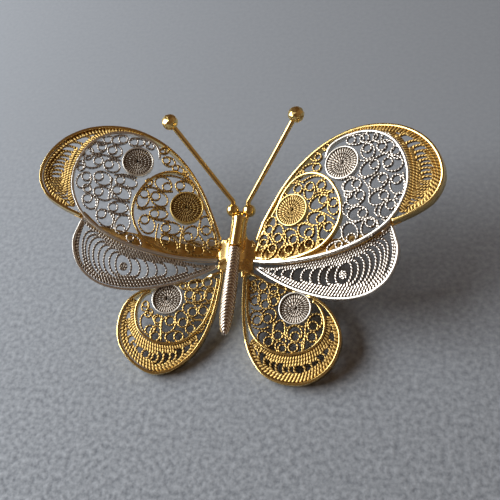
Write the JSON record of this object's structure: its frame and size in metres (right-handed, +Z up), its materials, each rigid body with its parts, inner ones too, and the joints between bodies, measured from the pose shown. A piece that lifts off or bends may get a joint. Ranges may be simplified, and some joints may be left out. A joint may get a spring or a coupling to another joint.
{
  "type": "butterfly brooch",
  "caption": "Butterfly brooch of two-tone filigree: a rod body with ball eyes and bead-tipped antennae, nested teardrop wings filled with wire scrolls, and a bar pin behind.",
  "frame": {"origin": "on the surface the brooch lies on, below the middle of its box", "axes": "+X to the butterfly's right wing as seen from above with the head away, +Y towards the head, +Z up from the surface"},
  "size_m": [0.0546, 0.0322, 0.0184],
  "materials": {
    "gold_polished": "polished gold plate",
    "gold_wire": "twisted gold wire, satin",
    "gold_coil": "coiled fine gold wire",
    "silver_polished": "polished silver",
    "silver_wire": "twisted silver wire, satin",
    "silver_coil": "coiled fine silver wire",
    "pin_metal": "plain silver, satin"
  },
  "bodies": {
    "root": {"thorax": "gold_polished", "abdomen": "silver_wire", "eye_right": "gold_polished", "eye_left": "gold_polished", "antenna_right": "gold_polished", "antenna_left": "gold_polished", "saddle": "gold_polished", "pin": "pin_metal", "forewing_frame_right": "gold_polished", "forewing_crescent_right": "gold_wire", "forewing_silver_frame_right": "silver_polished", "forewing_silver_net_right": "silver_wire", "forewing_silver_disc_right": "silver_coil", "forewing_inner_frame_right": "gold_polished", "forewing_gold_net_right": "gold_wire", "forewing_gold_disc_right": "gold_coil", "forewing_edge_net_right": "gold_wire", "midwing_frame_right": "silver_polished", "midwing_loops_right": "silver_wire", "hindwing_frame_right": "gold_polished", "hindwing_inner_frame_right": "gold_polished", "hindwing_crescent_right": "gold_wire", "hindwing_net_right": "gold_wire", "hindwing_disc_right": "silver_coil", "forewing_frame_left": "gold_polished", "forewing_crescent_left": "gold_wire", "forewing_silver_frame_left": "silver_polished", "forewing_silver_net_left": "silver_wire", "forewing_silver_disc_left": "silver_coil", "forewing_inner_frame_left": "gold_polished", "forewing_gold_net_left": "gold_wire", "forewing_gold_disc_left": "gold_coil", "forewing_edge_net_left": "gold_wire", "midwing_frame_left": "silver_polished", "midwing_loops_left": "silver_wire", "hindwing_frame_left": "gold_polished", "hindwing_inner_frame_left": "gold_polished", "hindwing_crescent_left": "gold_wire", "hindwing_net_left": "gold_wire", "hindwing_disc_left": "silver_coil"}
  },
  "joints": []
}
